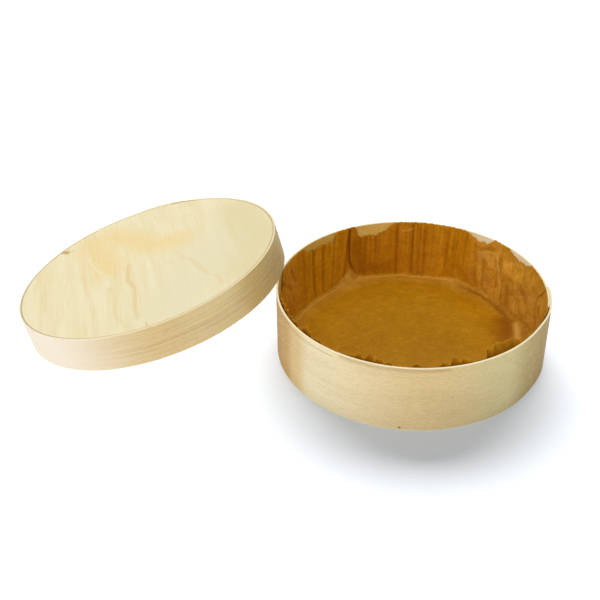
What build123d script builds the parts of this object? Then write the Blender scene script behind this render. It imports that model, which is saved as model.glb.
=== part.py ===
"""Round cheese box of bent veneer, with its lid taken off and a pleated paper liner inside.

The box stands at the origin on its floor, with +Z up and +X towards its glued lap.
The lid leans on the box's rim from the -X side, with its low edge on the table.
All lengths are in millimetres and all angles in degrees.
"""
import os
from math import asin, cos, degrees, radians, sin

from build123d import *

# Veneer strips, bent to hoops
veneer = 1.2
glue_line = 0.1
lap_length = 22.0
ramp_length = 26.0
rim_ease = 0.15

# Box
box_radius = 80.0
box_height = 42.2
floor_thickness = 3.0
floor_gap = 0.1
lap_end_azimuth = -1.2

# Lid
lid_height = 21.4
lid_slip = 0.3
disc_thickness = 2.6
disc_gap = 0.25
disc_recess = 0.15
disc_ease = 0.2
lid_azimuth = 168.5
lid_lap_azimuth = 112.0

# Wire brads through the box's band into its floor
brad_count = 4
brad_length = 11.0
brad_tip = 1.6
brad_radius = 0.45
brad_head_radius = 0.8
brad_head = 0.3
brad_fit = 0.02

# Paper liner
paper = 0.4
liner_room = 1.2
liner_base_room = 4.2
liner_drop = 0.2
pleat_count = 96
pleat_depth = 1.3
# Dips in the paper's edge: azimuth, half width as a share of the liner's radius, and depth as a share
# of its height
dip_shares = (
    (128, 0.14, 0.2),
    (103, 0.16, 0.22),
    (48, 0.13, 0.11),
    (18, 0.2, 0.09),
    (-42, 0.12, 0.06),
    (-75, 0.15, 0.08),
    (-128, 0.13, 0.07),
    (-158, 0.1, 0.05),
    (172, 0.12, 0.06),
)

# Distance between loose pieces at rest, and how far a cut runs past what it cuts
rest_gap = 0.3
overrun = 1.0


def at(radius, azimuth):
    """Point in a sketch at a radius and an azimuth."""
    return radius * cos(radians(azimuth)), radius * sin(radians(azimuth))


def outward(radius, azimuth, height):
    """Upright plane that faces away from the box's axis, with its own +Y upwards."""
    across, along = at(1, azimuth)
    return Plane(
        origin=(radius * across, radius * along, height),
        x_dir=(-along, across, 0),
        z_dir=(across, along, 0),
    )


def lapped_strip(radius, end_azimuth):
    """Lines round a strip bent to a hoop, seen from above, for the sketch that is open.

    The strip starts with its outer end at end_azimuth, lies outside the hoop for the lap,
    ramps down by its own thickness and runs round at radius until it ends under its start.
    """
    lap = degrees(lap_length / radius)
    ramp = degrees(ramp_length / radius)
    under = end_azimuth - lap
    joined = under - ramp
    inside, lapped = radius - veneer, radius + glue_line
    clockwise = -90
    turns = at(1, under + clockwise), at(1, joined + clockwise)
    CenterArc((0, 0), lapped + veneer, under, lap)
    Line(at(lapped + veneer, end_azimuth), at(lapped, end_azimuth))
    CenterArc((0, 0), lapped, under, lap)
    Spline(at(lapped, under), at(inside, joined), tangents=turns)
    CenterArc((0, 0), inside, under, 360 - ramp)
    Line(at(inside, under), at(radius, under))
    CenterArc((0, 0), radius, under, 360 - ramp)
    Spline(at(lapped + veneer, under), at(radius, joined), tangents=turns)


# Box band: one strip whose glued lap shows as a double edge on the +X side
lap_middle = lap_end_azimuth - degrees(lap_length / box_radius) / 2
lap_outside = box_radius + glue_line + veneer
brad_height = floor_thickness / 2
brad_turn = 360 / brad_count
brad_seats = [outward(lap_outside, lap_middle, brad_height)] + [
    outward(box_radius, lap_middle + turn * brad_turn, brad_height) for turn in range(1, brad_count)
]

with BuildPart() as box_band:
    with BuildSketch():
        with BuildLine():
            lapped_strip(box_radius, lap_end_azimuth)
        make_face()
    extrude(amount=box_height)
    chamfer(box_band.edges().group_by(Axis.Z)[-1], length=rim_ease)
    with Locations(*brad_seats):
        CounterBoreHole(
            radius=brad_radius + brad_fit,
            counter_bore_radius=brad_head_radius + brad_fit,
            counter_bore_depth=brad_head,
            depth=lap_outside - box_radius + veneer + overrun,
        )
box_band.part.label = "box_band"

# Box floor: a disc inside the band, flush with its lower edge
floor_radius = box_radius - veneer - floor_gap

with BuildPart() as box_floor:
    with BuildSketch():
        Circle(floor_radius)
    extrude(amount=floor_thickness)
    with Locations(*brad_seats):
        Hole(radius=brad_radius + brad_fit, depth=brad_length + overrun)
box_floor.part.label = "box_floor"

# Box brads: wire nails with flat heads sunk flush with the band, all in one node
with BuildPart() as one_brad:
    with BuildSketch(Plane.XZ):
        with BuildLine():
            Polyline(
                (0, 0),
                (brad_head_radius, 0),
                (brad_head_radius, -brad_head),
                (brad_radius, -brad_head),
                (brad_radius, brad_tip - brad_length),
                (0, -brad_length),
                close=True,
            )
        make_face()
    revolve(axis=Axis.Z)

with BuildPart() as box_brads:
    with Locations(*brad_seats):
        add(one_brad.part)
box_brads.part.label = "box_brads"

# The lid leans: the outer corner of its low edge is on the table, and the inner corner of its high edge
# is on the middle of the box's rim
lid_inner_radius = lap_outside + lid_slip
lid_outer_radius = lid_inner_radius + veneer
lean_sine = (box_height + rest_gap) / (lid_outer_radius + lid_inner_radius)
lean_cosine = cos(asin(lean_sine))
lid_reach = box_radius - veneer / 2 + lid_inner_radius * lean_cosine
away_x, away_y = at(1, lid_azimuth)
lid_plane = Plane(
    origin=(lid_reach * away_x, lid_reach * away_y, lid_outer_radius * lean_sine),
    x_dir=(-away_x * lean_cosine, -away_y * lean_cosine, lean_sine),
    z_dir=(away_x * lean_sine, away_y * lean_sine, lean_cosine),
)
lid_axis = Axis(lid_plane.origin, lid_plane.z_dir)

with BuildPart() as lid_band:
    with BuildSketch(lid_plane):
        with BuildLine():
            lapped_strip(lid_outer_radius, lid_lap_azimuth)
        make_face()
    extrude(amount=lid_height)
    rims = lid_band.edges().group_by(lid_axis)
    chamfer(rims[-1] + rims[0], length=rim_ease)
lid_band.part.label = "lid_band"

# Lid disc: glued into the band a little below its top edge
with BuildPart() as lid_disc:
    with BuildSketch(lid_plane.offset(lid_height - disc_recess - disc_thickness)):
        Circle(lid_inner_radius - disc_gap)
    extrude(amount=disc_thickness)
    chamfer(lid_disc.edges().filter_by(GeomType.CIRCLE).sort_by(lid_axis)[-1], length=disc_ease)
lid_disc.part.label = "lid_disc"

# Paper liner: a flat base crimped round its edge, and a wall whose pleats run up from the crimps and
# lean outwards to an edge that dips where the paper has slipped or torn
liner_low = floor_thickness + rest_gap
liner_top = box_height - liner_drop
liner_height = liner_top - liner_low
liner_radius = box_radius - veneer - liner_room
liner_base_radius = box_radius - veneer - liner_base_room
half_pleat = 180 / pleat_count


def pleated_ring(height, radius):
    """Sketch across the liner at a height: a ring whose corners lie in turn on the radius and inside it."""
    radii = radius, radius * (1 - pleat_depth / liner_radius)
    corners = [at(radii[corner % 2], corner * half_pleat) for corner in range(2 * pleat_count)]
    with BuildSketch(Plane.XY.offset(height)) as ring:
        with BuildLine():
            Polyline(corners, close=True)
        make_face()
    return ring.sketch


with BuildPart() as paper_liner:
    add(pleated_ring(liner_low, liner_base_radius))
    add(pleated_ring(liner_top, liner_radius))
    loft(ruled=True)
    add(pleated_ring(liner_low + paper, liner_base_radius - paper))
    add(pleated_ring(liner_top, liner_radius - paper))
    loft(ruled=True, mode=Mode.SUBTRACT)
    for azimuth, width_share, depth_share in dip_shares:
        half_width = width_share * liner_radius
        lowest = liner_top - depth_share * liner_height
        with BuildSketch(outward(0, azimuth, 0)):
            with BuildLine():
                ThreePointArc(
                    (-half_width, liner_top + overrun),
                    (0, lowest),
                    (half_width, liner_top + overrun),
                )
                Line((half_width, liner_top + overrun), (-half_width, liner_top + overrun))
            make_face()
        extrude(amount=liner_radius + overrun, mode=Mode.SUBTRACT)
paper_liner.part.label = "paper_liner"

os.makedirs("parts", exist_ok=True)
for piece in (box_band, box_floor, box_brads, lid_band, lid_disc, paper_liner):
    export_step(piece.part, f"parts/{piece.part.label}.step")

print("lid leans", round(degrees(asin(lean_sine)), 2), "degrees, and its edge centre is at",
      [round(value, 2) for value in tuple(lid_plane.origin)])
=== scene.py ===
# %% [markdown]
# A round cheese box of bent veneer, open, with its lid leaning on its rim and a crimped paper
# liner inside. The hoops, the discs and the brads are the imported CAD part, which is loaded here as
# a fixed frame. This lesson gives them their wood and steel, and models the thin paper.

from math import cos, pi, radians, sin, tau

import bpy
import numpy as np
from mathutils import Matrix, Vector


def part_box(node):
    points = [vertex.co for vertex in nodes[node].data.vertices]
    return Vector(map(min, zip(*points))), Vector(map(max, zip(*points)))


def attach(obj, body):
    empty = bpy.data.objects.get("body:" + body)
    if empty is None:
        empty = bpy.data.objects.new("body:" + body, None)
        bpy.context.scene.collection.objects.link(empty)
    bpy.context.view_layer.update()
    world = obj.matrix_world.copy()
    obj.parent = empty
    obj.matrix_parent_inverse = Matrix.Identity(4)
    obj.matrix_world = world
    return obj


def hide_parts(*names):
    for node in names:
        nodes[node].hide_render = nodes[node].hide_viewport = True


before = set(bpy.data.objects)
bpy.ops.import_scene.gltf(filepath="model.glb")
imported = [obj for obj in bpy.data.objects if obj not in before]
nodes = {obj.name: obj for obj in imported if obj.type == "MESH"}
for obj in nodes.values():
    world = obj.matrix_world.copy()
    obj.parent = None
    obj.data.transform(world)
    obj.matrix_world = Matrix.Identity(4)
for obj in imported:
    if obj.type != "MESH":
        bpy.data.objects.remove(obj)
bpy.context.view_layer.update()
print("CAD nodes:", sorted(nodes))

# %% [markdown]
# The sizes that the paper and the patterns need are read from the part, so that they follow it.
# The box's hoop is centred on the Z axis. The lid leans, so its middle and its three directions
# come from its disc: the direction in which a flat disc is thinnest points out of its face.

# %% Sizes read from the frame
MM = 0.001
band_low, band_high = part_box("box_band")
floor_low, floor_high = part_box("box_floor")
box_height = band_high.z / MM
floor_radius = floor_high.y / MM
floor_top = floor_high.z / MM
band_radius = -band_low.y / MM
print("box height", round(box_height, 1), "inside radius", round(floor_radius, 1))


def corners_of(thing):
    """All corners of a mesh in metres, as an array with a row for each."""
    corners = np.empty(len(thing.data.vertices) * 3)
    thing.data.vertices.foreach_get("co", corners)
    return corners.reshape(-1, 3)


def lid_axes(points):
    """Middle of the disc and its own axes: x climbs the slope, z points out of its face, y is z cross x."""
    middle = (points.min(axis=0) + points.max(axis=0)) / 2
    axes = np.linalg.eigh(np.cov((points - middle).T))[1]
    out = axes[:, 0] * np.sign(axes[2, 0])
    uphill = np.array((0.0, 0.0, 1.0)) - out * out[2]
    uphill /= np.linalg.norm(uphill)
    return middle, uphill, np.cross(out, uphill), out


lid_middle, lid_x, lid_y, lid_z = lid_axes(corners_of(nodes["lid_disc"]))
lid_turn = Matrix(np.column_stack((lid_x, lid_y, lid_z)).tolist())
print("lid middle", np.round(lid_middle / MM, 1), "lean", round(float(np.degrees(np.arccos(lid_z[2]))), 1))

# %% [markdown]
# A picture is only comparable with the photograph if it is taken from the same place. The two
# ellipses of the box's rim and foot give how far down the camera looks, and through which lens.

# %% The camera
lens_mm = 58.22
camera_place = (-0.06592, -0.48269, 0.35202)
look_down = 0.5829
tilt = -0.0136

lens = bpy.data.cameras.new("camera")
lens.lens = lens_mm
lens.sensor_width = 36.0
camera = bpy.data.objects.new("camera", lens)
camera_turn = Matrix.Rotation(pi / 2 - look_down, 4, "X") @ Matrix.Rotation(tilt, 4, "Z")
camera.matrix_world = Matrix.Translation(camera_place) @ camera_turn
bpy.context.scene.collection.objects.link(camera)
bpy.context.scene.camera = camera
bpy.context.scene.view_settings.view_transform = "Standard"
print("camera with a lens of", lens_mm, "mm")

# %% [markdown]
# The light is soft: one wide lamp is to the left of the camera and another one high above. The shadow
# in the photograph lies only in front of the box, as a large window behind it would draw it, so an
# elliptic panel stands there. A wide fill from the front keeps the shadow pale.

# %% Lamps
sun_width = 70


def hang(name, lamp, azimuth, height, distance=0):
    """Puts a lamp in the scene that shines at its middle from an azimuth and a height, in degrees."""
    made = bpy.data.objects.new(name, lamp)
    towards = Matrix.Rotation(radians(azimuth), 4, "Z") @ Matrix.Rotation(radians(90 - height), 4, "Y")
    made.matrix_world = towards @ Matrix.Translation((0, 0, distance))
    bpy.context.scene.collection.objects.link(made)
    print("lamp", name, "at azimuth", azimuth, "height", height)
    return made


def soft_sun(name, azimuth, height, strength, colour):
    """A sun lamp that is so wide that its shadows have no hard edge."""
    lamp = bpy.data.lights.new(name, "SUN")
    lamp.energy = strength
    lamp.angle = radians(sun_width)
    lamp.color = colour
    return hang(name, lamp, azimuth, height)


def far_panel(name, azimuth, height, distance, width, depth, strength):
    """An elliptic panel far away. Its strength is the light on a surface that faces it."""
    lamp = bpy.data.lights.new(name, "AREA")
    lamp.shape = "ELLIPSE"
    lamp.size = depth
    lamp.size_y = width
    lamp.energy = strength * pi * distance**2
    return hang(name, lamp, azimuth, height, distance)


cool_white = (0.98, 0.99, 1)
key_lamp = soft_sun("key", azimuth=-117, height=33, strength=1.55, colour=cool_white)
top_lamp = soft_sun("top", azimuth=80, height=72, strength=1.27, colour=cool_white)
panel_size = {"distance": 10, "width": 15, "depth": 7.5}
floor_lamp = far_panel("floor_lamp", azimuth=91, height=42, strength=11.7, **panel_size)
floor_fill = soft_sun("floor_fill", azimuth=-90, height=60, strength=2.3, colour=(0.92, 0.96, 1))

# %% [markdown]
# Every finish is a small tree of shader nodes. Short helpers keep the trees readable: one adds a node,
# one turns a screen colour into linear light, and others make a noise of a given size and lay a tint
# where it is high.


# %% Helpers for shader trees
def add(tree, kind, settings=None, **inputs):
    """Adds a shader node. An input is a value or another node's output, and _1 is the second socket."""
    node = tree.nodes.new("ShaderNode" + kind)
    for name, value in (settings or {}).items():
        setattr(node, name, value)
    for name, value in inputs.items():
        key = int(name[1:]) if name[0] == "_" else name.replace("_", " ")
        if isinstance(value, bpy.types.NodeSocket):
            tree.links.new(value, node.inputs[key])
        else:
            node.inputs[key].default_value = value
    return node


def work(tree, operation, *values, clamp=False):
    """One step of arithmetic."""
    sockets = {f"_{place}": value for place, value in enumerate(values)}
    return add(tree, "Math", {"operation": operation, "use_clamp": clamp}, **sockets).outputs[0]


def linear(red, green, blue):
    """A screen colour from 0 to 255 as linear light, with full cover."""
    screen = np.array((red, green, blue)) / 255
    light = np.where(screen <= 0.04045, screen / 12.92, ((screen + 0.055) / 1.055) ** 2.4)
    return (*light.tolist(), 1)


def blend(tree, share, under, over):
    """Lays one colour over another by a share from 0 to 1."""
    node = add(tree, "Mix", {"data_type": "RGBA"}, _0=share, _6=under, _7=over)
    return node.outputs[2]


def step_up(tree, value, low, high, bottom=0, top=1):
    """A smooth rise from bottom to top while the value goes from low to high."""
    settings = {"interpolation_type": "SMOOTHSTEP"}
    return add(tree, "MapRange", settings, _0=value, _1=low, _2=high, _3=bottom, _4=top).outputs[0]


def noise(tree, where, size, stretch=(1, 1, 1), detail=3, rough=0.55, offset=0):
    """Soft noise whose lumps are as large as size, in mm, times the stretch along each direction."""
    scale = [1 / (size * way) for way in stretch]
    placed = add(tree, "Mapping", _0=where, _1=(offset, offset, offset), _3=scale).outputs[0]
    return add(tree, "TexNoise", Vector=placed, Scale=1, Detail=detail, Roughness=rough).outputs[0]


def times(tree, first, second):
    """A product, which also masks one value by another."""
    return work(tree, "MULTIPLY", first, second)


def scaled(tree, value, factor, plus):
    """A value times a factor, with another one added."""
    return work(tree, "MULTIPLY_ADD", value, factor, plus)


def split(tree, vector):
    """The three parts of a vector."""
    return add(tree, "SeparateXYZ", _0=vector).outputs


def tint(tree, colour, over, value, low, high, share):
    """Lays a colour over another one while the value rises from low to high, up to the share."""
    return blend(tree, step_up(tree, value, low, high, 0, share), colour, over)


def from_axis(tree, parts):
    """Distance of a place from its Z axis."""
    flat = add(tree, "CombineXYZ", _0=parts[0], _1=parts[1], _2=0).outputs[0]
    return add(tree, "VectorMath", {"operation": "LENGTH"}, _0=flat).outputs["Value"]


def finish_of(name):
    """A new material with its shader, and its tree."""
    material = bpy.data.materials.new(name)
    material.use_nodes = True
    tree = material.node_tree
    return material, tree, tree.nodes["Principled BSDF"]


def join(tree, shader, colour, roughness, height, depth_mm, gloss=0.5):
    """Joins colour, roughness and a bump of that depth to the shader, and sets its gloss."""
    bump = add(tree, "Bump", Strength=1, Distance=depth_mm * MM, Height=height)
    tree.links.new(colour, shader.inputs["Base Color"])
    tree.links.new(roughness, shader.inputs["Roughness"])
    tree.links.new(bump.outputs[0], shader.inputs["Normal"])
    shader.inputs["Specular IOR Level"].default_value = gloss


def wear(node_name, material):
    """Gives a CAD node its finish."""
    mesh = nodes[node_name].data
    mesh.materials.clear()
    mesh.materials.append(material)


print("a screen grey of 128 is", round(linear(128, 128, 128)[0], 3), "in linear light")

# %% [markdown]
# The floor is white paper. What the camera sees of it is white with the shadow of the object. What
# shines back from it on to the wood is a little less, so that the side away from the lamp falls into
# shade. The room is white to the camera in the same way, and from half a metre on the floor turns
# into glowing white where it is seen directly, so it meets the room without a grey horizon.

# %% Floor and room
full_white = (1, 1, 1, 1)
floor_seen = ((0.439, 0.45, 0.468, 1), (0.446, 0.457, 0.475, 1))
floor_bounce = (0.312, 0.306, 0.292, 1)
white_from, white_to = 0.5, 1.1
room_light = 0.34
room_tint = (1, 0.985, 0.95, 1)


def seen_directly(tree):
    """1 where the ray comes from the camera, a mirror or glass."""
    path = add(tree, "LightPath")
    shine = work(tree, "MAXIMUM", path.outputs["Is Glossy Ray"], path.outputs["Is Transmission Ray"])
    return work(tree, "MAXIMUM", path.outputs["Is Camera Ray"], shine)


def floor_material():
    """White paper near the object and plain white far from it. Other light sees a duller floor."""
    material, tree, shader = finish_of("white_floor")
    seen = seen_directly(tree)
    place = add(tree, "TexCoord").outputs["Object"]
    fibres = add(tree, "TexNoise", Vector=place, Scale=60, Detail=2).outputs[0]
    paper = blend(tree, fibres, *floor_seen)
    tree.links.new(blend(tree, seen, floor_bounce, paper), shader.inputs["Base Color"])
    shader.inputs["Roughness"].default_value = 1.0
    shader.inputs["Specular IOR Level"].default_value = 0.0
    away = add(tree, "VectorMath", {"operation": "LENGTH"}, _0=place).outputs["Value"]
    far = times(tree, seen, step_up(tree, away, white_from, white_to))
    glow = add(tree, "Emission", Color=full_white, Strength=1).outputs[0]
    both = add(tree, "MixShader", _0=far, _1=shader.outputs[0], _2=glow).outputs[0]
    tree.links.new(both, tree.nodes["Material Output"].inputs["Surface"])
    return material


room = bpy.data.worlds.new("room")
room.use_nodes = True
bpy.context.scene.world = room
background = room.node_tree.nodes["Background"]
room_seen = seen_directly(room.node_tree)
room_strength = step_up(room.node_tree, room_seen, 0, 1, room_light, 1)
room_colour = blend(room.node_tree, room_seen, room_tint, full_white)
room.node_tree.links.new(room_strength, background.inputs["Strength"])
room.node_tree.links.new(room_colour, background.inputs["Color"])

half_floor = 6.0
floor_mesh = bpy.data.meshes.new("floor")
corners = [(x * half_floor, y * half_floor, 0) for x, y in ((-1, -1), (1, -1), (1, 1), (-1, 1))]
floor_mesh.from_pydata(corners, [], [(0, 1, 2, 3)])
floor_mesh.materials.append(floor_material())
floor = bpy.data.objects.new("floor", floor_mesh)
bpy.context.scene.collection.objects.link(floor)
print("floor", 2 * half_floor, "m wide, plain white from", white_to, "m")

# %% [markdown]
# Light linking says which lamp lights what. The key and the top lamp light only the object, so they
# leave no shadow. The panel lights only the floor, and only the box's hoop blocks it, because the
# lid throws no shadow in the photograph. The fill is blocked by the brads alone, which are too small
# to draw a second one.


# %% Which lamp lights what
def only(name, things):
    """A collection that holds only these things."""
    made = bpy.data.collections.new(name)
    for thing in things:
        made.objects.link(thing)
    return made


object_only = only("object_only", nodes.values())
floor_only = only("floor_only", [floor])
for lamp in (key_lamp, top_lamp):
    lamp.light_linking.receiver_collection = object_only
for lamp, blocker in ((floor_lamp, "box_band"), (floor_fill, "box_brads")):
    lamp.light_linking.receiver_collection = floor_only
    lamp.light_linking.blocker_collection = only("shadow_of_" + blocker, [nodes[blocker]])
    print(lamp.name, "is blocked by", blocker)

# %% [markdown]
# Both hoops are strips of peeled poplar, bent round and glued. The long streaks of the veneer must
# follow the strip round the hoop, so the hoop is unrolled: the angle round its middle times its
# radius is the distance along the strip, and the height is the distance across. The pattern is cut
# on the lap's own end, where one layer really stops.

# %% Unrolled coordinates of a hoop
lap_end_azimuth = -1.2
lid_lap_azimuth = 112.0


def own_place(tree, middle=(0, 0, 0), turn=Matrix.Identity(3)):
    """The piece's Object coordinates in mm, from a middle and a turn of its own."""
    place = add(tree, "TexCoord").outputs["Object"]
    settings = {"vector_type": "TEXTURE"}
    return add(
        tree, "Mapping", settings, _0=place, _1=middle, _2=turn.to_euler(), _3=(MM, MM, MM)
    ).outputs[0]


def unrolled(tree, middle, turn, cut_azimuth, radius):
    """The unrolled place, and its distance along the strip, height and distance from the middle, in mm."""
    cut = turn @ Matrix.Rotation(radians(cut_azimuth + 180), 3, "Z")
    parts = split(tree, own_place(tree, middle, cut))
    angle = work(tree, "ARCTAN2", parts[1], parts[0])
    along = times(tree, angle, radius)
    out = from_axis(tree, parts)
    strip = add(tree, "CombineXYZ", _0=along, _1=out, _2=parts[2]).outputs[0]
    return strip, along, parts[2], out


def along_of(azimuth, cut, radius):
    """Distance along an unrolled hoop of a point at that azimuth, in mm."""
    return radians((azimuth - cut) % 360 - 180) * radius


print("the box's hoop is", round(tau * band_radius), "mm round")

# %% [markdown]
# The lines in this wood, its knot and the creases of this paper are drawn. Each is a path, a chain of
# soft strokes between points of a flat pattern, and where several meet, the strongest one shows.


# %% Strokes and paths
def stroke(tree, x, y, start, end, width, strength):
    """A soft line between two points, from its strength on the line to nothing at its width."""
    run_x, run_y = end[0] - start[0], end[1] - start[1]
    squared = run_x**2 + run_y**2
    from_x = work(tree, "SUBTRACT", x, start[0])
    from_y = work(tree, "SUBTRACT", y, start[1])
    reach = times(tree, from_x, run_x / squared)
    share = work(tree, "MULTIPLY_ADD", from_y, run_y / squared, reach, clamp=True)
    gap_x = scaled(tree, share, -run_x, from_x)
    gap_y = scaled(tree, share, -run_y, from_y)
    squares = [work(tree, "POWER", gap, 2) for gap in (gap_x, gap_y)]
    gap = work(tree, "SQRT", work(tree, "ADD", *squares))
    return step_up(tree, gap, 0, width, strength, 0)


def strongest(tree, values):
    """The largest of several masks."""
    found = values[0]
    for value in values[1:]:
        found = work(tree, "MAXIMUM", found, value)
    return found


def paths_mask(tree, x, y, paths, place=lambda *point: point):
    """The strongest of several paths, each a width, a strength and points, where place sets a point."""
    strokes = []
    for width, strength, points in paths:
        placed = [place(*point) for point in points]
        pairs = zip(placed[:-1], placed[1:])
        strokes += [stroke(tree, x, y, start, end, width, strength) for start, end in pairs]
    return strongest(tree, strokes)


# %% [markdown]
# A strip's colour is built from the large to the small: a tone that changes slowly along the strip,
# long streaks, fine flecks, pale gleams, and the pale cut edges at rim and foot. The fine flecks also
# make the bump, because peeled veneer is only lightly sanded.


# %% Veneer of a hoop
# Depths in mm: where the inner tones take over below the outer face, and where a cut edge fades out
inner_full, inner_from = 0.9, 0.6
edge_gone, edge_full = 0.45, 0.1


def tone_along(tree, along, cut, radius, stops):
    """Colour that changes along the strip between stops, each an azimuth and a screen colour."""
    length = tau * radius
    node = add(tree, "ValToRGB", Fac=scaled(tree, along, 1 / length, 0.5))
    ramp = node.color_ramp
    ramp.interpolation = "EASE"
    placed = [(along_of(azimuth, cut, radius) / length + 0.5, tone) for azimuth, *tone in stops]
    for spare in range(len(placed) - len(ramp.elements)):
        ramp.elements.new(0.5)
    for element, (position, tone) in zip(ramp.elements, sorted(placed)):
        element.position = position
        element.color = linear(*tone)
    return node.outputs[0]


def hoop_veneer(name, shape, ends, stops, inside, streak, edge, streak_share, marks, highlight=None):
    """Veneer bent to a hoop. shape is the hoop's middle, turn, azimuth of its cut and radius, and ends
    are its lowest and highest point. stops are the tones round its outer side, inside those round its
    inner side, streak and edge the tones of its darker lines and of its cut edges. The last, if given,
    is a painted highlight: the four azimuths between which it fades in and out, and its tone."""
    material, tree, shader = finish_of(name)
    cut, radius = shape[2:]
    low, high = ends
    strip, along, height, out = unrolled(tree, *shape)
    outer, inner = (tone_along(tree, along, cut, radius, tones) for tones in (stops, inside))
    colour = blend(tree, step_up(tree, out, radius - inner_full, radius - inner_from, 1, 0), outer, inner)
    slow = noise(tree, strip, 13, (5, 1, 1))
    colour = tint(tree, colour, streak, slow, 0.4, 0.7, streak_share * 0.65)
    long_lines = noise(tree, strip, 0.8, (60, 1, 1), detail=4, rough=0.6)
    colour = tint(tree, colour, streak, long_lines, 0.5, 0.74, streak_share)
    flecks = noise(tree, strip, 0.3, (8, 1, 1), rough=0.65, offset=3.1)
    colour = tint(tree, colour, streak, flecks, 0.5, 0.7, streak_share * 1.6)
    gleam = noise(tree, strip, 0.4, (8, 1, 1), offset=7.7)
    colour = tint(tree, colour, edge, gleam, 0.5, 0.72, 0.45)
    colour = blend(tree, marks(tree, strip, along, height), colour, streak)
    top_edge = step_up(tree, height, high - edge_gone, high - edge_full)
    foot_edge = step_up(tree, height, low + edge_gone, low + edge_full)
    colour = blend(tree, work(tree, "MAXIMUM", top_edge, foot_edge), colour, edge)
    # A painted highlight that makes the hoop nearly white on the side towards the lamp
    if highlight:
        azimuths, highlight_tone = highlight
        start, full, fade, gone = (along_of(azimuth, cut, radius) for azimuth in azimuths)
        grows = step_up(tree, along, start, full, 0, 0.82)
        shrinks = step_up(tree, along, fade, gone, 1, 0)
        colour = blend(tree, times(tree, grows, shrinks), colour, highlight_tone)
    relief = work(tree, "ADD", flecks, times(tree, long_lines, 0.6))
    join(tree, shader, colour, step_up(tree, flecks, 0.3, 0.8, 0.52, 0.74), relief, 0.07, 0.25)
    return material


# %% [markdown]
# The box's hoop is orange-brown at the left, palest left of the middle and greenish at the right.
# Painted shade darkens it at the far left, where the lid shades it, and at the far right, which is
# turned from the lamp. Round the back, which the photograph doesn't show, its tones are carried on.
# Inside, the wood above the paper's edge is pale, with painted light: golden where the paper throws
# light back on it, and palest at the right. Two hairlines lie under its rim at the left, and a
# darker band at the front.

# %% The box's hoop
hairlines = (
    (0.6, 0.7, ((-176, 40), (-128, 38.8))), (0.5, 0.6, ((-178, 38.4), (-140, 37.6))),
)
# A darker band under the rim at the front
rim_bands = ((3, 0.6, ((-124, 41), (-82, 41.3))),)
# Outer tones: the wood's own, with painted shade at the far left, where the lid shades the hoop, and at the
# far right, turned from the lamp
box_tones_and_shade = (
    (-176, 179, 131, 62), (-160, 195, 155, 88), (-149, 226, 198, 144), (-140, 247, 233, 195),
    (-88, 230, 202, 148), (-55, 226, 213, 160), (-37, 194, 170, 110), (-28, 177, 150, 88),
    (-12, 173, 144, 80), (14, 206, 182, 128), (90, 228, 208, 164),
)
# Inner tones: golden at the left and back, as painted light thrown back by the paper, and palest at the
# right, as painted light from the lamp
box_inside_and_bounce_light = (
    (170, 222, 184, 78), (130, 225, 183, 66), (100, 227, 187, 82), (62, 238, 214, 156),
    (46, 248, 236, 200), (16, 255, 246, 212), (-60, 228, 200, 140),
)
box_streak, box_edge, box_streak_share = linear(188, 152, 100), linear(244, 230, 190), 0.26
flat_turn = Matrix.Identity(3)


def streaked(tree, strip, share):
    """A mask broken up into fine streaks along the strip."""
    streaks = noise(tree, strip, 0.45, (24, 1, 1))
    return times(tree, share, step_up(tree, streaks, 0.3, 0.6, 0.3, 1))


def box_marks(tree, strip, along, height):
    """The hairlines and the darker band under the rim, each at an azimuth and a height."""

    def place(azimuth, up):
        return along_of(azimuth, lap_end_azimuth, band_radius), up

    lines = paths_mask(tree, along, height, hairlines, place)
    rim_band = paths_mask(tree, along, height, rim_bands, place)
    return work(tree, "MAXIMUM", lines, streaked(tree, strip, rim_band))


box_shape = ((0, 0, 0), flat_turn, lap_end_azimuth, band_radius)
box_tones = (box_tones_and_shade, box_inside_and_bounce_light, box_streak, box_edge, box_streak_share)
wear("box_band", hoop_veneer("box_veneer", box_shape, (0, box_height), *box_tones, box_marks))
print("box hoop with", len(box_tones_and_shade), "tones outside and", len(box_inside_and_bounce_light), "inside")

# %% [markdown]
# The lid's hoop is cut from a livelier sheet, with a group of darker lines along its middle. On the
# side that leans away from the box a painted highlight makes it nearly white.

# %% The lid's hoop
lid_corners = corners_of(nodes["lid_band"])
lid_heights = (lid_corners - lid_middle) @ lid_z / MM
lid_ends = (float(lid_heights.min()), float(lid_heights.max()))
lid_radius = float(((lid_middle - lid_corners) @ lid_y).max() / MM)
print("lid hoop from", round(lid_ends[0], 1), "to", round(lid_ends[1], 1), "radius", round(lid_radius, 1))

# Each line: its height over the middle line, its half width, both in mm, and its strength
lid_lines = (
    (0, 0.9, 0.55), (1.4, 0.5, 0.45), (-2.6, 1.6, 0.32), (4.6, 1.2, 0.3), (6.6, 0.8, 0.35),
    (-6, 1, 0.2),
)
middle_line = sum(lid_ends) / 2 + 1.5


def lid_marks(tree, strip, along, height):
    """The darker lines along the middle of the lid's hoop, which wander up and down together."""
    wander = noise(tree, add(tree, "CombineXYZ", _0=along).outputs[0], 45, detail=1)
    drift = scaled(tree, wander, 5, height)
    lines = []
    for up, wide, strength in lid_lines:
        gap = work(tree, "ABSOLUTE", work(tree, "SUBTRACT", drift, middle_line + up))
        lines.append(step_up(tree, gap, 0, wide, strength, 0))
    patches = noise(tree, strip, 2.2, (14, 1, 1), offset=1.7)
    gaps = step_up(tree, patches, 0.38, 0.6, 0.1, 1)
    return times(tree, gaps, streaked(tree, strip, strongest(tree, lines)))


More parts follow.
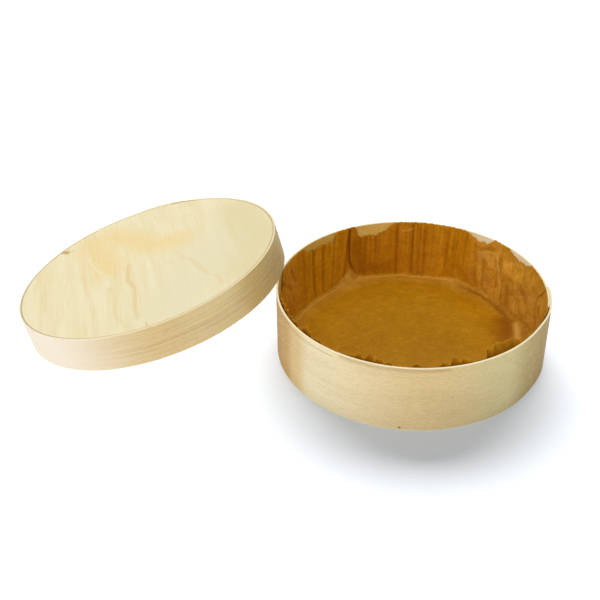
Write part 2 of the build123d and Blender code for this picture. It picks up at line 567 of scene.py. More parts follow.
lid_stops = (
    (-110, 226, 198, 142), (-64, 227, 200, 144), (-50, 237, 212, 160), (-36, 242, 220, 165),
    (-22, 223, 196, 127), (-8, 214, 196, 134), (90, 228, 208, 164),
)
lid_inside = ((-90, 226, 198, 142), (90, 226, 198, 142))
lid_streak, lid_edge, lid_streak_share = linear(186, 148, 102), linear(238, 222, 178), 0.24
# Painted highlight on the side of the lid's hoop that leans away from the box
lid_highlight = ((150, 180, -116, -66), linear(251, 242, 227))
lid_shape = (lid_middle, lid_turn, lid_lap_azimuth, lid_radius)
lid_tones = (lid_stops, lid_inside, lid_streak, lid_edge, lid_streak_share)
wear("lid_band", hoop_veneer("lid_veneer", lid_shape, lid_ends, *lid_tones, lid_marks, lid_highlight))

# %% [markdown]
# A disc is cut from a wide peeled sheet. Its grain runs one way across, and the peeling knife turns
# the growth rings into slow waves of tone along the grain. Over this lie the marks of the disc in the
# photograph: a knot at the edge, an orange cloud, a strong tan streak and a short split. At the rim
# the cut end of the sheet is a thin brown line, which shows more on the near side.


# %% Veneer of a disc
# Depths in mm between which the cut end at the rim fades out, and the far and near end of its shade
rim_gone, rim_full = 0.85, 0.35
far_y, near_y = 40, -20


def disc_veneer(name, middle, turn, radius, grain_azimuth, tones, marks=None):
    """Peeled veneer with its grain along one direction of the disc. tones are pale, deep, line and rim."""
    material, tree, shader = finish_of(name)
    parts = split(tree, own_place(tree, middle, turn))
    grained = own_place(tree, middle, turn @ Matrix.Rotation(radians(grain_azimuth), 3, "Z"))
    pale, deep, line, rim = tones
    slow = noise(tree, grained, 6, (14, 1, 1), detail=4)
    colour = tint(tree, pale, deep, slow, 0.36, 0.68, 0.48)
    drawn = split(tree, grained)
    sway = noise(tree, grained, 26, (5, 1, 1), detail=2, offset=5)
    rings = scaled(tree, sway, 12, times(tree, drawn[1], 0.14))
    wave = work(tree, "SINE", times(tree, rings, 3))
    fade = step_up(tree, noise(tree, grained, 14, (4, 1, 1), offset=9), 0.42, 0.7)
    ring_share = times(tree, step_up(tree, wave, 0.3, 1, 0, 0.2), fade)
    colour = blend(tree, ring_share, colour, line)
    broad = noise(tree, grained, 1.2, (30, 1, 1), offset=6)
    colour = tint(tree, colour, line, broad, 0.5, 0.75, 0.2)
    threads = noise(tree, grained, 0.5, (40, 1, 1), detail=4, rough=0.6)
    colour = tint(tree, colour, line, threads, 0.5, 0.75, 0.24)
    glints = noise(tree, grained, 0.8, (34, 1, 1), detail=2, offset=2)
    colour = tint(tree, colour, pale, glints, 0.54, 0.8, 0.4)
    if marks:
        shiver = noise(tree, grained, 3, (3, 1, 1), detail=4, offset=4)
        wobble = work(tree, "SUBTRACT", shiver, 0.5)
        x = scaled(tree, wobble, 3, parts[0])
        y = scaled(tree, wobble, 1.6, parts[1])
        broken = step_up(tree, work(tree, "ADD", threads, broad), 0.75, 1.15, 0.25, 1)
        for tone, share in marks(tree, x, y, broken):
            colour = blend(tree, share, colour, tone)
    near_side = step_up(tree, parts[1], far_y, near_y, 0.1, 0.5)
    cut_end = step_up(tree, from_axis(tree, parts), radius - rim_gone, radius - rim_full)
    colour = blend(tree, times(tree, cut_end, near_side), colour, rim)
    join(tree, shader, colour, step_up(tree, threads, 0.3, 0.8, 0.5, 0.7), threads, 0.05, 0.25)
    return material


# %% [markdown]
# The marks lie in the disc's own plane, in mm from its middle: x goes up the slope and y away from
# the camera. A cloud is a very wide stroke. The box's floor is of the same veneer, without marks.

# %% Marks of the lid's face
# Each path: its width in mm, its strength from 0 to 1, and its points
clouds = (
    (20, 0.85, ((-52, 38), (-38, 14), (-26, -4))),
    (20, 0.85, ((-42, 45), (-22, 34), (-6, 23), (14, 24))),
)
# Painted shade: a greyer and a duller part over the upper half of the lid, beside the box
shade_upper_half = ((46, 0.6, ((36, -56), (48, 20))),)
shade_upper_end = ((26, 0.8, ((44, 56), (72, 16), (74, -24))),)
tan_lines = (
    (2.8, 0.65, ((-13, -1), (-5, -21), (3, -31), (13, -56), (18, -66))),
    (2.6, 0.3, ((-16, -26), (-7, -37), (0, -58), (14, -75))),
    (2.8, 0.3, ((-43, -6), (-31, -26), (-22, -41), (-9, -66))),
    (3, 0.25, ((-82, 10), (-69, -12), (-54, -43))),
    (2.6, 0.34, ((18, 8), (27, -3), (35, -9), (48, -25), (56, -30), (62, -40))),
    (3.6, 0.25, ((42, 40), (50, 25), (62, 4))),
)
pale_wave = ((1.6, 0.5, ((-48, 17), (-37, 1), (-24, -11), (-17, -26))),)
pale_line = ((3, 0.4, ((1, 0), (15, -31))),)
knot_and_splits = (
    (3.2, 0.95, ((-73, 31.6), (-70, 30.4))), (1.6, 0.4, ((-70, 30.8), (-66, 31.2))),
    (1, 0.16, ((-59, 52), (-53, 43))), (0.7, 0.45, ((25, -71), (28, -79))),
)


def lid_face_marks(tree, x, y, broken):
    """The marks of the lid's face, each a tone and a mask, in the order in which they are laid on."""

    def mask(paths):
        return paths_mask(tree, x, y, paths)

    return (
        (linear(240, 211, 143), times(tree, mask(clouds), work(tree, "MAXIMUM", broken, 0.7))),
        (linear(229, 222, 187), mask(shade_upper_half)),
        (linear(226, 212, 166), mask(shade_upper_end)),
        (linear(228, 194, 128), times(tree, mask(tan_lines), broken)),
        (linear(244, 236, 204), work(tree, "MAXIMUM", mask(pale_wave), times(tree, mask(pale_line), broken))),
        (linear(192, 138, 70), mask(knot_and_splits)),
    )


disc_radius = float(np.abs((corners_of(nodes["lid_disc"]) - lid_middle) @ lid_y).max() / MM)
disc_tones = (linear(240, 229, 190), linear(234, 215, 165), linear(222, 194, 134), linear(186, 146, 88))
lid_grain, floor_grain = -65.5, 24.0
lid_place = (lid_middle, lid_turn, disc_radius, lid_grain)
wear("lid_disc", disc_veneer("lid_face", *lid_place, disc_tones, lid_face_marks))
floor_middle = (0, 0, float(floor_high.z + floor_low.z) / 2)
wear("box_floor", disc_veneer("floor_veneer", floor_middle, flat_turn, floor_radius, floor_grain, disc_tones))
print("lid disc of radius", round(disc_radius, 1), "with", len(tan_lines), "veins")

# %% [markdown]
# The brads are short pins of plain steel wire. They are dull and have taken on the warm tone of the
# wood round them, with darker spots. Colour and roughness come from one noise.


# %% Steel of the brads
def brad_steel():
    """Half dull steel: the warm tarnish is as strong as the metal."""
    material, tree, shader = finish_of("brad_steel")
    place = own_place(tree)
    spots = noise(tree, place, 0.35, detail=4)
    colour = blend(tree, step_up(tree, spots, 0.4, 0.65), linear(206, 162, 96), linear(164, 118, 64))
    join(tree, shader, colour, step_up(tree, spots, 0.3, 0.7, 0.35, 0.6), spots, 0.02)
    shader.inputs["Metallic"].default_value = 0.5
    return material


wear("box_brads", brad_steel())
print("finishes:", sorted(material.name for material in bpy.data.materials))

# %% [markdown]
# The liner is one sheet of brown baking paper, pressed into a cup with a flat floor. Its wall is
# gathered into narrow pleats, because a flat sheet has too much paper for the wall of a cup. Cloth
# simulation would smooth those out, so the sheet is a surface worked out on a grid of turn and rise,
# whose radius moves in and out with each pleat. On the right, where a hand has pressed it, the wall
# is crumpled into facets.

# %% Sizes of the paper
columns = 900
floor_rings = 7
corner_rings = 4
wall_rings = 38
paper_thickness = 0.16
paper_foot = floor_top + 0.35
top_radius = floor_radius - 0.2
edge_height = box_height + 0.4
dice = np.random.default_rng(12)
print("paper from", round(paper_foot, 2), "to", round(edge_height, 1), "mm")


def away_from(turn, azimuth):
    """Signed distance in degrees from an azimuth."""
    return (np.degrees(turn) - azimuth + 180) % 360 - 180


def dip(turn, first, last, fall_first, fall_last):
    """1 between two azimuths, falling smoothly to 0 over so many degrees before and after them."""
    before = np.clip(1 + away_from(turn, first) / fall_first, 0, 1)
    after = np.clip(1 - away_from(turn, last) / fall_last, 0, 1)
    share = np.minimum(before, after)
    return share * share * (3 - 2 * share)


def window(turn, azimuth, half_width, soft):
    """1 within the half width of an azimuth, and a smooth fall to 0 over the soft degrees past it."""
    return dip(turn, azimuth - half_width, azimuth + half_width, soft, soft)


# %% [markdown]
# Each pleat has its own width, depth and lean. A point's place within its pleat goes from 0 to 1.
# Between these two grooves the paper swells inwards as one minus a high power of the distance from
# the middle: flat on top and steep at the groove, as pressed paper is.


# %% Pleats of the wall
pleat_count = 176
pleat_widths = dice.uniform(1.2, 4.8, pleat_count)
pleat_ends = np.cumsum(pleat_widths) / pleat_widths.sum() * tau
pleat_depths = dice.uniform(0.08, 0.6, pleat_count) * np.clip(pleat_widths / 3, 0.5, 1.3)
pleat_skews = dice.uniform(0.5, 2, pleat_count)


def pleat_place(turn):
    """Number of the pleat at a turn, and the place within it from 0 to 1."""
    turn = turn % tau
    number = np.minimum(np.searchsorted(pleat_ends, turn), pleat_count - 1)
    start = pleat_ends[number] - pleat_widths[number] / pleat_widths.sum() * tau
    return number, np.clip((turn - start) / (pleat_ends[number] - start), 0, 1)


def pleats(turn):
    """How far the paper stands inwards of its grooves, in mm, and the same as a share."""
    number, place = pleat_place(turn)
    ridge = 1 - np.abs(2 * place ** pleat_skews[number] - 1) ** 2.6
    return pleat_depths[number] * ridge, ridge


def depth_at(turn):
    """Depth of the pleat at a turn, in mm."""
    return pleat_depths[pleat_place(turn)[0]]


print("pleats from", round(pleat_depths.min(), 2), "to", round(pleat_depths.max(), 2), "mm deep")

# %% [markdown]
# A tuck is where the sheet laps over itself: the near layer ends, and the wall jumps back by a
# millimetre or two and comes forward again slowly, which gives dark lines of the whole height. The
# crumpled part is a lattice of random heights joined straight: flat facets with sharp creases.

# %% Tucks and crumples
# Each tuck: its azimuth, how far the wall jumps back in mm, and the degrees of its way forward again
tucks = (
    (114.6, 3, 6), (107, 0.7, 2.5), (100.4, 0.5, 2), (90.8, 0.9, 3), (83.2, 1.1, 3.5),
    (79.9, 0.6, 2), (77.3, 0.7, 2.5), (65.5, 0.8, 3), (61, 0.7, 3), (130.5, 0.8, 2.5),
    (135.8, 0.8, 2), (137.8, 0.6, 2.5), (144, 0.6, 3), (36.5, 1.6, 6), (-45, 2.4, 5), (-97, 1, 4),
    (-124, 1, 4),
)
# Degrees over which the shade fades behind and before the end of a near layer
shade_behind, shade_before = 1.2, 0.35


def tuck_depth(turn):
    """Depth behind the near layers, and how dark it is just past each of them, from 0 to 1."""
    depth, shade = np.zeros_like(turn), np.zeros_like(turn)
    for azimuth, deep, run in tucks:
        behind = -away_from(turn, azimuth)
        gone_back = np.clip(behind, 0, 90)
        depth += deep * ((behind > 0) * np.exp(-gone_back / run))
        soft = np.exp(-gone_back / shade_behind) * np.exp(np.clip(behind, -90, 0) / shade_before)
        shade = np.maximum(shade, min(0.2 + deep / 3, 1) * soft)
    return depth, shade


facet_turns = 84
facet_rows = 5
facet_heights = dice.uniform(-1, 1, (facet_rows + 1, facet_turns))
facet_tones = dice.uniform(-1, 1, (facet_rows + 1, facet_turns))
facet_folds = dice.uniform(-0.3, 1, (2, facet_rows + 1, facet_turns))
torn_steps = dice.uniform(-1, 1, 270)


def facets(turn, rise):
    """A lattice of random heights, joined straight along both its directions, from -1 to 1.
    With it come a tone for each facet, and 1 on the folds between facets."""
    sway = 0.25 * np.sin(turn * 11) + 0.15 * np.sin(turn * 29 + 1)
    across = ((turn % tau) / tau * facet_turns + 0.3 * np.sin(rise * 7 + turn * 7)) % facet_turns
    up = np.clip(rise * facet_rows + sway, 0, facet_rows - 1e-6)
    column, row = np.floor(across).astype(int) % facet_turns, np.floor(up).astype(int)
    over, above = across - np.floor(across), up - row
    after = (column + 1) % facet_turns
    low = facet_heights[row, column] * (1 - over) + facet_heights[row, after] * over
    high = facet_heights[row + 1, column] * (1 - over) + facet_heights[row + 1, after] * over
    beside = np.exp(-((over * 7) ** 2)) * facet_folds[0, row, column]
    beneath = np.exp(-((above * 5) ** 2)) * facet_folds[1, row, column]
    return low * (1 - above) + high * above, facet_tones[row, column], np.maximum(beside, beneath)


print(len(tucks), "tucks, and facets of", round(360 / facet_turns, 1), "degrees")

# %% [markdown]
# The torn top edge stands a little above the wooden rim, drops in dips where the wood shows, and has
# a few tips that lean inwards at the front. The torn line of a dip is a row of random steps joined
# straight. The wall turns into the floor over a small slope, which is larger where it has come away
# from the corner. Beside the end of the hoop's inner layer the paper fills a little more room.

# %% Edge, lean and foot
# Each dip: the azimuths it lies between, the degrees of its fall before and after them, and its depth
edge_dips = (
    (124.5, 138, 3, 9, 5.8), (100, 109.5, 9, 2.5, 8.2), (46, 49, 5, 10, 4.4), (21, 27, 7, 8, 3.8),
    (170, 183, 4, 5, 12),
)
# Each tip: its azimuth, its half width in degrees, and how far it leans inwards in mm
front_tips = (
    (-174, 1.4, 1.2), (-170, 1.2, 1), (-166, 2, 1.4), (-161, 1.4, 1.2), (-156.5, 1.2, 1.4),
    (-152, 1.4, 1.3), (-145.5, 2.6, 2.2), (-142, 1.6, 1.4), (-136, 1.4, 1), (-117, 2, 2),
    (-112.6, 2.2, 3.8), (-108.6, 2.2, 2.2), (-104.5, 1.8, 1.2), (-94, 1.8, 1.6), (-82.5, 2.2, 1.6),
    (-78, 2.6, 3.6), (-74.5, 2, 2.4), (-63, 2.6, 4.4), (-58.5, 3.4, 5), (-54, 3.6, 4.6),
    (-49.5, 3.4, 4.2),
)
# Each stop: its azimuth, the radius of the wall's foot, and width and height of the slope below it
foot_stops = (
    (-170, 75, 3, 1.5), (163, 74.4, 1.6, 1.2), (154, 73.2, 1.1, 1), (146, 72.8, 1, 1),
    (133, 72.8, 1, 1), (124, 74.8, 1.6, 1.8), (118, 76.8, 4.4, 5.6), (114.6, 77.3, 4.8, 9),
    (111, 76.8, 2.6, 2.6), (105, 76.2, 0.8, 0.7), (96, 75.4, 0.7, 0.6), (88, 76.4, 0.7, 0.6),
    (79, 74.4, 0.9, 0.7), (68, 76.4, 0.8, 0.7), (60, 76.8, 3.4, 3.2), (52, 75.6, 2.6, 1.6),
    (45, 74.8, 1.6, 1.2), (38, 73.8, 1.4, 1.2), (30, 73, 1.4, 1.2), (22, 72.4, 1.4, 1.2),
    (14, 73.2, 2.6, 1.8), (3, 75.2, 9, 3.8), (-8, 75.6, 12, 5), (-30, 75.2, 8, 3.5),
    (-55, 75.2, 2.5, 1.8),
)
tear_size = 0.95
# Height of a tip for each mm that it leans
tip_height = 0.55
lap_corner, lap_gap = -18.6, 1.1


def peak(turn, azimuth, half_width, height):
    """A rounded peak at the azimuth, gone at the half width on either side."""
    return height * window(turn, azimuth, half_width * 0.25, half_width * 0.75)


def paper_edge(turn):
    """Height of the torn edge above the box's foot, in mm: less in the dips and more at the tips."""
    steps = len(torn_steps)
    torn = np.interp(turn / tau * steps, np.arange(steps), torn_steps, period=steps)
    height = np.full_like(turn, edge_height)
    for first, last, fall_first, fall_last, drop in edge_dips:
        height += dip(turn, first, last, fall_first, fall_last) * (tear_size * torn - drop)
    for azimuth, half, lean in front_tips:
        height += peak(turn, azimuth, half, lean * tip_height)
    height += peak(turn, -20, 14, 0.9)
    return height + pleats(turn)[1] * (0.5 + depth_at(turn)) - 0.7


def front_lean(turn):
    """How far the top of the wall leans inwards, in mm."""
    lean = 0.1 * window(turn, -95, 60, 20)
    for azimuth, half, more in front_tips:
        lean = lean + peak(turn, azimuth, half, more)
    return lean


def lap_room(turn):
    """How far the hoop stands back beside the end of its inner layer, in mm."""
    return lap_gap * dip(turn, lap_corner, lap_corner, 16, 1.2)


def foot_of(turn):
    """Radius of the wall's foot, and width and height of the slope below it, in mm."""
    azimuths, *columns_of_stops = zip(*foot_stops)
    return [np.interp(np.degrees(turn), azimuths, values, period=360) for values in columns_of_stops]


print(len(edge_dips), "dips of the edge and", len(front_tips), "tips")

# %% [markdown]
# The sheet is put together from rings: those of the flat floor, a few that climb the slope, and those
# of the wall. A ring's radius is an array with a number for each column, so pleats, tucks and
# crumples are simply added up. Six numbers are kept for each point: how high it is on the wall, how
# strong the painted shade of its groove is, the tone of its facet, its fold, how crumpled it is, and,
# on the slope, how strong its painted highlight is.

# %% The whole sheet
# Each crumpled part: its share, and a window of azimuth, half width and soft degrees. Each slanted
# part: how far its pleats lean over at the foot in degrees, and its window
crumpled_parts = ((1, (17, 30, 10)), (0.7, (167, 11, 8)), (0.5, (-52, 12, 10)))
slanted_parts = ((1.5, (58, 12, 8)), (3.5, (142, 25, 10)))
least_crumple = 0.06
crumple_depth = 1.8
hoop_gap = 0.1
pressed_window = (-2, 48, 14)


def paper_sheet():
    """Points of the sheet and their six numbers, one row for each ring from the floor to the edge.
    The wall's radius grows from foot to edge, less the pleat, the lean and the crumples, plus the tucks.
    On the right, where a hand has pressed it, its edge lies against the hoop."""
    turn = np.linspace(0, tau, columns, endpoint=False)
    share = np.linspace(0, 1, wall_rings)[:, None]
    (foot, slope, slope_height), edge = foot_of(turn), paper_edge(turn)
    crumple = sum(part * window(turn, *where) for part, where in crumpled_parts)
    crumple = np.clip(crumple, least_crumple, 1)
    slant = -sum(radians(lean) * window(turn, *where) for lean, where in slanted_parts) * (1 - share)
    depth, ridge = pleats(turn + slant)
    behind, shade = tuck_depth(turn + slant)
    bump, tone, fold = facets(turn + 0 * share, share + 0 * turn)
    spread = 0.3 + 0.7 * share**0.6
    grip = spread * (1 - 0.7 * crumple)
    wall = foot + (top_radius - foot) * share**0.75 - depth * grip
    wall = wall - front_lean(turn) * share**2.5 - 0.9 * crumple * np.sin(pi * share)
    wall = wall + (behind - 0.35) * spread * (1 - 0.3 * crumple)
    wall = wall + crumple_depth * crumple * bump * np.sin(pi * np.clip(share, 0.06, 0.88))
    edge_room = top_radius + lap_room(turn)
    pressed = 0.95 * window(turn, *pressed_window) * share**8
    wall = wall + pressed * (edge_room - wall - front_lean(turn))
    wall = np.minimum(wall, edge_room - hoop_gap)
    height = paper_foot + slope_height + share * (edge - paper_foot - slope_height)
    bend = np.linspace(0, 1, corner_rings, endpoint=False)[:, None]
    corner_radius = wall[0] - slope * (1 - bend)
    corner_height = paper_foot + slope_height * bend**1.2
    reach = np.linspace(0.02, 1, floor_rings, endpoint=False)[:, None]
    sag = 0.3 * np.sin(3 * turn + 1) * np.sin(pi * reach)
    radius = np.vstack((corner_radius[0] * reach, corner_radius, wall))
    rise = np.vstack((paper_foot + sag, corner_height, height))
    points = np.stack((radius * np.cos(turn), radius * np.sin(turn), rise), axis=-1) * MM
    nothing = np.zeros_like(wall)
    # The groove number is painted shade: dark in the grooves of the pleats and just past each tuck
    darkness = np.clip(depth_at(turn + slant) / 0.6, 0.2, 1)
    numbers = {
        "rise": share + nothing,
        "groove_shade": np.maximum((1 - ridge) * grip * darkness, shade),
        "tone": tone * crumple,
        "fold": np.clip(fold, 0, 1) * crumple,
        "crumple": crumple + nothing,
        "slope": nothing,
    }
    below = np.zeros((floor_rings + corner_rings, columns))
    numbers = {label: np.vstack((below, values)) for label, values in numbers.items()}
    # A painted highlight along the slope at the wall's foot, stronger where the slope is higher
    numbers["slope"][floor_rings:floor_rings + corner_rings] = np.clip(0.4 + slope_height / 8, 0, 1)
    return points, numbers


def ring_faces(count, rings):
    """Quads between neighbouring rings, wound so that they face the inside of the cup."""
    index = np.arange(rings * count).reshape(rings, count)
    after = np.roll(index, -1, axis=1)
    return np.stack((index[:-1], index[1:], after[1:], after[:-1]), axis=-1).reshape(-1, 4)


paper_points, paper_numbers = paper_sheet()
rings = len(paper_points)
quads = ring_faces(columns, rings)
all_points = np.vstack((paper_points.reshape(-1, 3), (0, 0, paper_foot * MM)))
first_ring = np.arange(columns)
fan = np.stack((first_ring, np.roll(first_ring, -1), np.full(columns, rings * columns)), axis=-1)
paper_mesh = bpy.data.meshes.new("paper_cup")
paper_mesh.from_pydata(all_points.tolist(), [], [*quads.tolist(), *fan.tolist()])
paper_mesh.shade_smooth()
for label, values in paper_numbers.items():
    layer = paper_mesh.attributes.new(label, "FLOAT", "POINT")
    layer.data.foreach_set("value", np.append(values.ravel(), 0).astype(np.float32))
print("paper:", len(all_points), "points,", len(paper_mesh.polygons), "faces")

# %% [markdown]
# The long creases of this sheet are paths: those of the wall through points of azimuth and height,
# and the shade and shine round the floor through points of azimuth and radius. The wall's dark
# creases are painted shade, at its laps and folds and over its lower part beside the deep tuck.

# %% Creases, shade and shine
pale_creases = (
    (1.2, 0.75, ((38.3, 34.6), (37.2, 29), (36, 24.8), (35, 18), (33.1, 10.1))),
    (5, 0.35, ((48, 28.5), (41.5, 30))), (1.6, 0.5, ((49.6, 30.5), (44, 32.8), (39, 35))),
    (1.2, 0.5, ((25.4, 12.9), (20.1, 16.8), (12.8, 22.9), (4.8, 26.7), (-3, 30.5))),
    (2.2, 0.45, ((33, 31), (28, 34.6), (22, 36.6))), (1.8, 0.4, ((160, 31), (156, 25), (152, 24))),
    (1.6, 0.4, ((23.5, 30), (22, 18), (20, 8))), (4, 0.3, ((43, 18), (40, 8))),
    (1.2, 0.5, ((83.5, 38.2), (85.6, 36.4), (88.2, 36.2))),
    (1.4, 0.5, ((12.3, 5.1), (3, 14), (-7, 22.9))), (6, 0.3, ((10, 24), (3, 30))),
)
# Painted shade: dark creases at the laps and folds of the wall, and broad shade over its lower part
crease_shadows = (
    (2.2, 0.35, ((49.8, 31.9), (46, 34.2), (42.1, 36.7))),
    (1.6, 0.35, ((44.4, 21.9), (42, 22.4), (39.7, 23.6))),
    (2, 0.3, ((32.8, 19.5), (29, 22), (25.4, 24.8))), (2.8, 0.4, ((51.6, 34.8), (49.8, 18), (48, 2.1))),
    (2, 0.35, ((46, 27.8), (45, 15), (44.1, 4.4))), (2.2, 0.5, ((32.6, 12), (31.5, 6), (30.5, 3))),
    (4.5, 0.4, ((29, 18), (26, 4))), (0.9, 0.85, ((3.8, 27.6), (-0.7, 36), (-5.2, 44.6))),
    (2.6, 0.5, ((168.7, 36.3), (164, 30), (160, 25))), (2.6, 0.45, ((157, 36), (154.7, 28))),
    (1.9, 0.95, ((115, 42.2), (114.9, 30), (114.6, 18), (113.4, 11), (111.4, 6.5))),
    (10, 0.45, ((110.5, 30), (108, 8))), (3, 0.3, ((107, 34), (106.6, 8))),
    (2.8, 0.35, ((91, 40), (90.8, 6))), (2.8, 0.35, ((83.4, 41), (83, 6))),
    (2.4, 0.35, ((79.8, 38), (79.4, 5))), (2.4, 0.35, ((77.2, 38), (76.8, 6))),
    (2.6, 0.25, ((100.4, 32), (100, 6))), (2.6, 0.3, ((66, 38), (65.6, 6))),
    (3.4, 0.26, ((61, 40), (61.8, 6))), (3.4, 0.22, ((56.8, 40), (57.8, 8))),
    (3.2, 0.32, ((136.4, 38), (139.5, 6))), (3, 0.22, ((130.5, 34), (133.5, 6))),
    (3, 0.22, ((144, 38), (147, 8))), (10, 0.4, ((112, 12), (96, 9))), (7, 0.3, ((60, 16), (54, 8))),
)
floor_shade = (
    (3.2, 0.35, ((56, 72.4), (50, 72.2))), (3.4, 0.6, ((50, 72.2), (42, 71.2), (30, 70.2))),
    (4.6, 0.7, ((30, 69.8), (15, 68.4))), (13, 0.75, ((16, 65.5), (7, 62.5), (-4, 60))),
    (12, 0.4, ((15, 60), (7, 56))), (6, 0.4, ((6, 72.5), (-8, 70.5))),
)
floor_shine = (
    (1.1, 0.34, ((110, 75.4), (103, 75.2), (96, 74.6), (88, 75.4), (79, 73.6))),
    (1.1, 0.34, ((79, 73.6), (68, 75.4), (61, 74.6))),
    (1, 0.36, ((162, 71.6), (154, 71.2), (146, 70.8), (133, 70.8), (124, 72.2))),
    (3.2, 0.75, ((12.4, 70.7), (5.4, 68.3), (-3.5, 66.1), (-9, 65))),
)
print(len(pale_creases), "pale and", len(crease_shadows), "dark creases")

# %% [markdown]
# Brown baking paper is a warm golden brown with cloudy fibres. Painted shade darkens it in the grooves
# of the pleats and just past each tuck, and it is a little paler where a fold has broken the fibres.
# These follow the surface, so they come from the numbers stored with the sheet, as does a painted
# highlight along the slope at the wall's foot. Fine streaks of painted shade and highlight draw the
# smallest pleats. The outer side is duller and darker, as painted shade, and it is what shows at the
# tips that lean over the rim.

# %% Brown paper
wall_radius = 77.0
wall_cut = -90.0
old_stain = linear(150, 112, 4)


def draw_creases(tree, colour, strip, place, on_wall, shade_and_cloud_tone, pale_and_highlight_tone):
    """Draws the painted shade of the wall's dark creases, its pale creases, and the shade and the shine of
    the floor.
    """
    wobble = work(tree, "SUBTRACT", noise(tree, place, 3, offset=6), 0.5)
    wall = split(tree, strip)
    across, up = (scaled(tree, wobble, 1, part) for part in (wall[0], wall[2]))
    flat = split(tree, place)
    floor_x, floor_y = (scaled(tree, wobble, 4, part) for part in (flat[0], flat[1]))
    off_wall = work(tree, "SUBTRACT", 1, on_wall)

    def wall_place(azimuth, height):
        return along_of(azimuth, wall_cut, wall_radius), height

    def floor_place(azimuth, radius):
        return radius * cos(radians(azimuth)), radius * sin(radians(azimuth))

    for creases, tone in ((crease_shadows, shade_and_cloud_tone), (pale_creases, pale_and_highlight_tone)):
        mask = paths_mask(tree, across, up, creases, wall_place)
        colour = blend(tree, times(tree, mask, on_wall), colour, tone)
    # Painted sheen: the floor grows paler towards the front
    near = times(tree, step_up(tree, flat[1], 0, -66, 0, 0.3), off_wall)
    colour = blend(tree, near, colour, pale_and_highlight_tone)
    for arcs, tone in ((floor_shade, shade_and_cloud_tone), (floor_shine, pale_and_highlight_tone)):
        mask = paths_mask(tree, floor_x, floor_y, arcs, floor_place)
        colour = blend(tree, times(tree, mask, off_wall), colour, tone)
    return colour


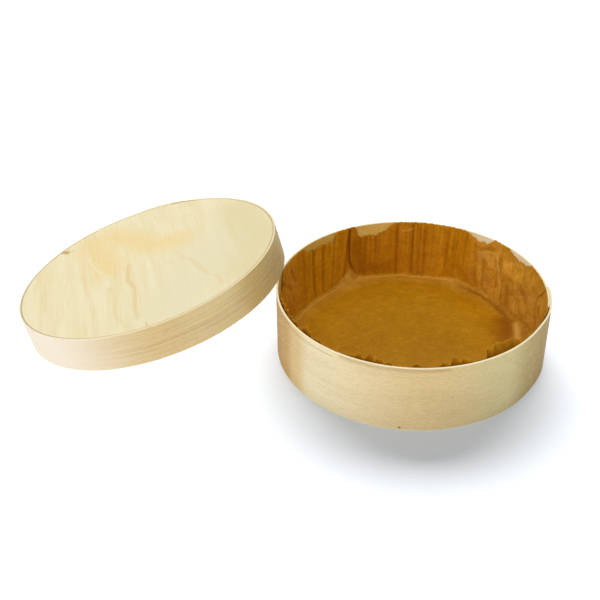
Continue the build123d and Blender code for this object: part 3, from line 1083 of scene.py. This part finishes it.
def brown_paper(name, floor_tones, wall_stops, shade_and_cloud_tone, pale_and_highlight_tone, creased):
    """Golden baking paper. floor_tones are the middle and the rim of its floor, and wall_stops the tones
    round its wall."""
    material, tree, shader = finish_of(name)
    strip, along, _, out = unrolled(tree, (0, 0, 0), flat_turn, wall_cut, wall_radius)
    place = own_place(tree)
    stored = {
        label: add(tree, "Attribute", {"attribute_name": label}).outputs["Fac"] for label in paper_numbers
    }
    on_wall = step_up(tree, stored["rise"], 0, 0.06)
    floor_tone = blend(tree, step_up(tree, out, 25, 64), *floor_tones)
    colour = blend(tree, on_wall, floor_tone, tone_along(tree, along, wall_cut, wall_radius, wall_stops))
    # Paler on the slope at the wall's foot, as a painted highlight, and over the crumpled parts
    crumpled = times(tree, stored["crumple"], 0.28)
    colour = blend(tree, scaled(tree, stored["slope"], 0.5, crumpled), colour, pale_and_highlight_tone)
    clouds = step_up(tree, noise(tree, place, 8, detail=5, rough=0.65), 0.35, 0.68, 0, 0.26)
    colour = blend(tree, clouds, colour, shade_and_cloud_tone)
    mottle = noise(tree, place, 2.2, (1.6, 1, 1), detail=5, rough=0.75, offset=8)
    colour = tint(tree, colour, old_stain, mottle, 0.48, 0.64, 0.5)
    colour = tint(tree, colour, pale_and_highlight_tone, mottle, 0.5, 0.32, 0.16)
    fibres = noise(tree, place, 0.8, (1, 1, 2.2), rough=0.7, offset=2)
    colour = tint(tree, colour, pale_and_highlight_tone, fibres, 0.5, 0.74, 0.22)
    # Painted shade and highlight: fine vertical streaks that draw the smallest pleats of the wall
    streaks = noise(tree, strip, 1.3, (1, 1, 24), detail=2, rough=0.5)
    pleated = times(tree, on_wall, scaled(tree, stored["crumple"], -0.75, 1))
    streak_shade = times(tree, step_up(tree, streaks, 0.46, 0.72, 0, 0.15), pleated)
    streak_highlight = times(tree, step_up(tree, streaks, 0.5, 0.3, 0, 0.12), pleated)
    colour = blend(tree, streak_shade, colour, shade_and_cloud_tone)
    colour = blend(tree, streak_highlight, colour, pale_and_highlight_tone)
    # Painted shade in the grooves of the pleats and just past each tuck
    colour = tint(tree, colour, shade_and_cloud_tone, stored["groove_shade"], 0.1, 1, 0.4)
    colour = tint(tree, colour, shade_and_cloud_tone, stored["tone"], 0, 1, 0.16)
    folds = times(tree, step_up(tree, stored["fold"], 0.2, 1, 0, 0.6), on_wall)
    colour = blend(tree, folds, colour, pale_and_highlight_tone)
    if creased:
        colour = draw_creases(tree, colour, strip, place, on_wall, shade_and_cloud_tone, pale_and_highlight_tone)
    pressed = work(tree, "ADD", fibres, times(tree, streak_shade, -2))
    relief = scaled(tree, clouds, 3, pressed)
    join(tree, shader, colour, step_up(tree, fibres, 0.3, 0.7, 0.5, 0.68), relief, 0.06, 0.06)
    return material


# Middle and rim of the floor: the paler rim is painted sheen
paper_floor_and_sheen = (linear(170, 116, 0), linear(184, 124, 0))
# Tones round the wall: paler and bluer on the right, which faces the lamp, as painted light and sheen over
# the paper's own tone
paper_wall_and_sheen = (
    (170, 212, 144, 6), (125, 208, 140, 2), (108, 198, 128, 2), (85, 194, 124, 2),
    (60, 208, 138, 4), (35, 211, 144, 16), (-20, 210, 148, 34),
)
# Dark and pale tones: each is both the paper's own tone and its painted shade and highlight
paper_shade_and_cloud, paper_pale_and_highlight = linear(134, 70, 0), linear(224, 170, 78)
front_paper = brown_paper("brown_paper", paper_floor_and_sheen, paper_wall_and_sheen, paper_shade_and_cloud, paper_pale_and_highlight, True)
# The outer side's tones are darker as painted shade, because it shows at the tips that lean over the rim
back_floor_shaded = (linear(166, 108, 8),) * 2
back_wall_shaded = ((170, 182, 118, 14), (-20, 190, 128, 18))
back_shade_and_cloud, back_pale_and_highlight = linear(150, 90, 4), linear(210, 150, 50)
back_paper_shaded = brown_paper("brown_paper_back", back_floor_shaded, back_wall_shaded, back_shade_and_cloud, back_pale_and_highlight, False)
print("paper finishes:", front_paper.name, "and", back_paper_shaded.name)

# %% [markdown]
# A Solidify modifier gives the surface its thickness on the outer side, and that side and the edge
# the second material. The paper moves with the liner's body and stands in for its plain CAD solid.

# %% The paper cup
paper_mesh.materials.append(front_paper)
paper_mesh.materials.append(back_paper_shaded)
paper = bpy.data.objects.new("paper_cup", paper_mesh)
bpy.context.scene.collection.objects.link(paper)
object_only.objects.link(paper)
thickness = paper.modifiers.new("thickness", "SOLIDIFY")
thickness.thickness = paper_thickness * MM
thickness.offset = -1.0
thickness.material_offset = 1
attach(paper, "liner")
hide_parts("paper_liner")
print("paper", paper_thickness, "mm thick")
